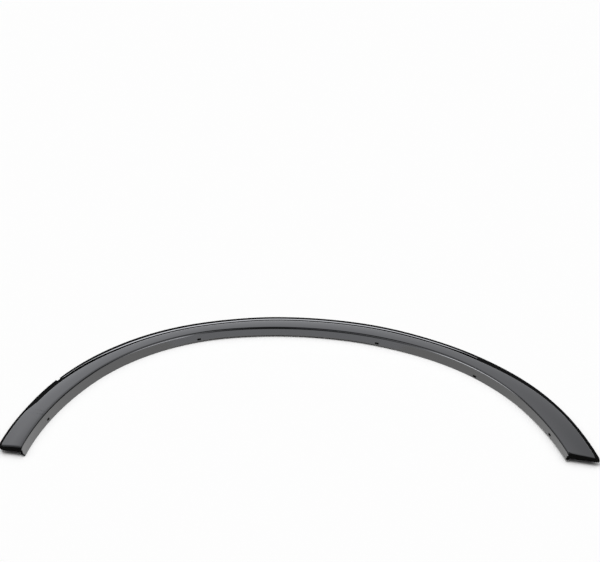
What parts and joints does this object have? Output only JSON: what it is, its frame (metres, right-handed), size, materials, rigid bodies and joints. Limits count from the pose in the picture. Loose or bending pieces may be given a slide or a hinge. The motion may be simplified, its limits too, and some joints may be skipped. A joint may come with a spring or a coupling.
{
  "type": "wheel arch trim",
  "caption": "Gloss black trim bent round a wheel opening: crowned face folded into an inner flange with clip slots, low outer lip with a raised rim, rolled closed ends.",
  "frame": {"origin": "middle of the bounding box in plan, on the floor under the flange's free edge", "axes": "+X along the trim from the square end to the slanted end, +Y to the top of the arch, +Z out of the face"},
  "size_m": [0.8041, 0.3506, 0.014],
  "materials": {
    "gloss_black": "gloss"
  },
  "bodies": {
    "root": {"arch_trim": "gloss_black"}
  },
  "joints": []
}
